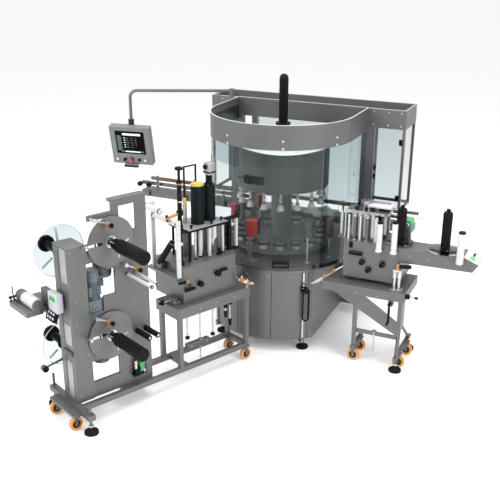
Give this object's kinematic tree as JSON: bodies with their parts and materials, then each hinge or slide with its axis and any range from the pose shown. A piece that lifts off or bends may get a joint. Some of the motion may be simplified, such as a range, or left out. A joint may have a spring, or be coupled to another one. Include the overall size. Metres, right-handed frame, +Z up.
{
  "type": "rotary bottle labelling machine",
  "caption": "Rotary bottle labelling machine: guarded carousel under a lift column, rear conveyor, swing-arm operator panel, and reel-fed label units on wheeled trolleys.",
  "frame": {"origin": "middle of the machine's footprint, on the floor", "axes": "+X along the conveyor to the operator's right, +Y towards the conveyor at the back, +Z up"},
  "size_m": [4.12, 3.63, 2.64],
  "materials": {
    "steel": "satin",
    "turned_steel": "polished",
    "black_metal": "satin",
    "black_rubber": "matte",
    "white_roller": "gloss",
    "white_plastic": "matte",
    "smoked_guard": "gloss",
    "clear_guard": "gloss",
    "clear_disc": "gloss",
    "red_pad": "matte",
    "red_plastic": "gloss",
    "black_plastic": "gloss",
    "panel_paint": "satin",
    "orange_wheel": "satin"
  },
  "bodies": {
    "machine": {"base_frame": "steel", "base_skirt": "steel", "deck_plate": "steel", "canopy_band": "steel", "gantry_frame": "steel", "conveyor": "steel", "left_base": "steel", "tower": "steel", "reel_plate": "steel", "web_frame": "steel", "applicator_body": "steel", "right_base": "steel", "right_body": "steel", "right_head": "steel", "lift_column": "black_metal", "applicator_head": "black_metal", "end_glazing": "smoked_guard", "side_guard_left": "clear_guard", "side_guard_right": "clear_guard", "rear_glazing": "clear_guard", "wipe_pads": "red_pad"},
    "turntable": {"turntable": "turned_steel"},
    "bell_head": {"bell_head": "turned_steel"},
    "infeed_star": {"infeed_star": "white_plastic"},
    "outfeed_star": {"outfeed_star": "white_plastic"},
    "front_guard": {"front_guard": "smoked_guard"},
    "gantry_window": {"gantry_window": "clear_guard"},
    "panel_arm": {"panel_arm": "turned_steel"},
    "panel_box": {"panel_box": "panel_paint"},
    "stop_button": {"stop_button": "red_plastic"},
    "start_button": {"start_button": "black_plastic"},
    "loop_handle": {"loop_handle": "black_metal"},
    "unwind_reel": {"unwind_reel": "black_rubber"},
    "rewind_reel": {"rewind_reel": "black_rubber"},
    "rear_reel_upper": {"rear_reel_upper": "clear_disc"},
    "rear_reel_lower": {"rear_reel_lower": "clear_disc"},
    "nip_roller_1": {"nip_roller_1": "white_roller"},
    "nip_roller_2": {"nip_roller_2": "white_roller"},
    "nip_roller_3": {"nip_roller_3": "black_rubber"},
    "nip_roller_4": {"nip_roller_4": "black_rubber"},
    "dancer_upper": {"dancer_upper": "turned_steel"},
    "dancer_lower": {"dancer_lower": "turned_steel"},
    "web_roller_top": {"web_roller_top": "white_roller"},
    "web_roller_large": {"web_roller_large": "white_roller"},
    "web_roller_1": {"web_roller_1": "white_roller"},
    "peel_roller": {"peel_roller": "white_roller"},
    "arm_roller_1": {"arm_roller_1": "white_roller"},
    "arm_roller_2": {"arm_roller_2": "white_roller"},
    "arm_roller_3": {"arm_roller_3": "white_roller"},
    "right_mandrel": {"right_mandrel": "black_rubber"},
    "right_reel": {"right_reel": "black_rubber"},
    "right_crank": {"right_crank": "black_metal"},
    "left_castor_1": {"left_castor_1": "orange_wheel"},
    "left_castor_2": {"left_castor_2": "orange_wheel"},
    "left_castor_3": {"left_castor_3": "orange_wheel"},
    "left_castor_4": {"left_castor_4": "orange_wheel"},
    "right_castor_1": {"right_castor_1": "orange_wheel"},
    "right_castor_2": {"right_castor_2": "orange_wheel"},
    "right_castor_3": {"right_castor_3": "orange_wheel"},
    "right_castor_4": {"right_castor_4": "orange_wheel"}
  },
  "joints": [
    {"name": "carousel_turn", "type": "hinge", "parent": "machine", "child": "turntable", "pos_m": [-0.01, 0.895, 0.95], "axis": [0, 0, 1], "continuous": true},
    {"name": "bell_turn", "type": "hinge", "parent": "machine", "child": "bell_head", "pos_m": [-0.01, 0.895, 1.56], "axis": [0, 0, 1], "continuous": true},
    {"name": "infeed_turn", "type": "hinge", "parent": "machine", "child": "infeed_star", "pos_m": [-0.25746, 1.435, 1.1], "axis": [0, 0, 1], "continuous": true},
    {"name": "outfeed_turn", "type": "hinge", "parent": "machine", "child": "outfeed_star", "pos_m": [0.23746, 1.435, 1.1], "axis": [0, 0, 1], "continuous": true},
    {"name": "guard_lift", "type": "slide", "parent": "machine", "child": "front_guard", "axis": [0, 0, 1], "range_m": [0, 0.5]},
    {"name": "window_hinge", "type": "hinge", "parent": "machine", "child": "gantry_window", "pos_m": [1.0714, 1.3815, 1.67], "axis": [0, 0, 1], "range_deg": [0, 110]},
    {"name": "arm_swing", "type": "hinge", "parent": "machine", "child": "panel_arm", "pos_m": [-0.81, 1.4, 2.335], "axis": [0, 0, 1], "range_deg": [-20, 30]},
    {"name": "panel_swivel", "type": "hinge", "parent": "panel_arm", "child": "panel_box", "pos_m": [-1.8, 0.94, 2.03], "axis": [0, 0, 1], "range_deg": [-60, 60]},
    {"name": "stop_press", "type": "slide", "parent": "panel_box", "child": "stop_button", "axis": [-0.1524, 0.9624, 0.225], "range_m": [0, 0.006], "stiffness_N_per_m": 800},
    {"name": "start_press", "type": "slide", "parent": "panel_box", "child": "start_button", "axis": [-0.1524, 0.9624, 0.225], "range_m": [0, 0.006], "stiffness_N_per_m": 800},
    {"name": "loop_turn", "type": "hinge", "parent": "machine", "child": "loop_handle", "pos_m": [0.45859, 0.37458, 0.66], "axis": [0.6691, -0.7431, 0], "range_deg": [-90, 90]},
    {"name": "unwind_turn", "type": "hinge", "parent": "machine", "child": "unwind_reel", "pos_m": [-0.62547, -1.29897, 1.545], "axis": [-0.9063, 0.4226, 0], "continuous": true},
    {"name": "rewind_turn", "type": "hinge", "parent": "machine", "child": "rewind_reel", "pos_m": [-0.64449, -1.33975, 0.72], "axis": [-0.9063, 0.4226, 0], "continuous": true},
    {"name": "rear_upper_turn", "type": "hinge", "parent": "machine", "child": "rear_reel_upper", "pos_m": [-0.94132, -1.46615, 1.435], "axis": [-0.9063, 0.4226, 0], "continuous": true},
    {"name": "rear_lower_turn", "type": "hinge", "parent": "machine", "child": "rear_reel_lower", "pos_m": [-0.95189, -1.48881, 0.6], "axis": [-0.9063, 0.4226, 0], "continuous": true},
    {"name": "nip_1_turn", "type": "hinge", "parent": "machine", "child": "nip_roller_1", "pos_m": [-0.56377, -1.16665, 1.22], "axis": [-0.9063, 0.4226, 0], "continuous": true},
    {"name": "nip_2_turn", "type": "hinge", "parent": "machine", "child": "nip_roller_2", "pos_m": [-0.52912, -1.09233, 1.21], "axis": [-0.9063, 0.4226, 0], "continuous": true},
    {"name": "nip_3_turn", "type": "hinge", "parent": "machine", "child": "nip_roller_3", "pos_m": [-0.53334, -1.10139, 0.672], "axis": [-0.9063, 0.4226, 0], "continuous": true},
    {"name": "nip_4_turn", "type": "hinge", "parent": "machine", "child": "nip_roller_4", "pos_m": [-0.497, -1.02345, 0.672], "axis": [-0.9063, 0.4226, 0], "continuous": true},
    {"name": "dancer_upper_swing", "type": "hinge", "parent": "machine", "child": "dancer_upper", "pos_m": [-0.69732, -1.45304, 1.772], "axis": [-0.9063, 0.4226, 0], "range_deg": [-12, 12], "stiffness_Nm_per_rad": 20},
    {"name": "dancer_lower_swing", "type": "hinge", "parent": "machine", "child": "dancer_lower", "pos_m": [-0.71, -1.48023, 0.93], "axis": [-0.9063, 0.4226, 0], "range_deg": [-12, 12], "stiffness_Nm_per_rad": 20},
    {"name": "web_top_turn", "type": "hinge", "parent": "machine", "child": "web_roller_top", "pos_m": [-0.50815, -0.6089, 1.535], "axis": [-0.9063, 0.4226, 0], "continuous": true},
    {"name": "web_large_turn", "type": "hinge", "parent": "machine", "child": "web_roller_large", "pos_m": [-0.60328, -0.64729, 1.635], "axis": [-0.9063, 0.4226, 0], "continuous": true},
    {"name": "web_1_turn", "type": "hinge", "parent": "machine", "child": "web_roller_1", "pos_m": [-0.24866, -0.26538, 1.25], "axis": [0, 0, 1], "continuous": true},
    {"name": "peel_turn", "type": "hinge", "parent": "machine", "child": "peel_roller", "pos_m": [-0.14709, 0.09441, 1.25], "axis": [0, 0, 1], "continuous": true},
    {"name": "arm_roller_1_turn", "type": "hinge", "parent": "machine", "child": "arm_roller_1", "pos_m": [1.155, 0.42, 1.15], "axis": [0, 0, 1], "continuous": true},
    {"name": "arm_roller_2_turn", "type": "hinge", "parent": "machine", "child": "arm_roller_2", "pos_m": [1.295, 0.42, 1.15], "axis": [0, 0, 1], "continuous": true},
    {"name": "arm_roller_3_turn", "type": "hinge", "parent": "machine", "child": "arm_roller_3", "pos_m": [1.895, 0.42, 1.15], "axis": [0, 0, 1], "continuous": true},
    {"name": "right_mandrel_turn", "type": "hinge", "parent": "machine", "child": "right_mandrel", "pos_m": [1.735, 0.555, 1.2], "axis": [0, 0, 1], "continuous": true},
    {"name": "right_reel_turn", "type": "hinge", "parent": "machine", "child": "right_reel", "pos_m": [1.31, 0.595, 1.2], "axis": [0, 0, 1], "continuous": true},
    {"name": "right_crank_turn", "type": "hinge", "parent": "machine", "child": "right_crank", "pos_m": [1.32, 0.3327, 0.69], "axis": [0, -1, 0], "continuous": true},
    {"name": "left_castor_1_turn", "type": "hinge", "parent": "machine", "child": "left_castor_1", "pos_m": [-0.7564, -1.7565, 0.06], "axis": [-0.9063, 0.4226, 0], "continuous": true},
    {"name": "left_castor_2_turn", "type": "hinge", "parent": "machine", "child": "left_castor_2", "pos_m": [-1.06002, -1.61492, 0.06], "axis": [-0.9063, 0.4226, 0], "continuous": true},
    {"name": "left_castor_3_turn", "type": "hinge", "parent": "machine", "child": "left_castor_3", "pos_m": [0.01123, -0.03459, 0.06], "axis": [-0.9063, 0.4226, 0], "continuous": true},
    {"name": "left_castor_4_turn", "type": "hinge", "parent": "machine", "child": "left_castor_4", "pos_m": [-0.21988, 0.07318, 0.06], "axis": [-0.9063, 0.4226, 0], "continuous": true},
    {"name": "right_castor_1_turn", "type": "hinge", "parent": "machine", "child": "right_castor_1", "pos_m": [0.976, 0.393, 0.06], "axis": [0, 1, 0], "continuous": true},
    {"name": "right_castor_2_turn", "type": "hinge", "parent": "machine", "child": "right_castor_2", "pos_m": [0.976, 0.608, 0.06], "axis": [0, 1, 0], "continuous": true},
    {"name": "right_castor_3_turn", "type": "hinge", "parent": "machine", "child": "right_castor_3", "pos_m": [1.413, 0.434, 0.06], "axis": [0, 1, 0], "continuous": true},
    {"name": "right_castor_4_turn", "type": "hinge", "parent": "machine", "child": "right_castor_4", "pos_m": [1.424, 0.709, 0.06], "axis": [0, 1, 0], "continuous": true}
  ],
  "couplings": [
    {"joint": "bell_turn", "follows": "carousel_turn", "ratio": 1},
    {"joint": "infeed_turn", "follows": "carousel_turn", "ratio": -2.6667},
    {"joint": "outfeed_turn", "follows": "carousel_turn", "ratio": -2.6667}
  ]
}
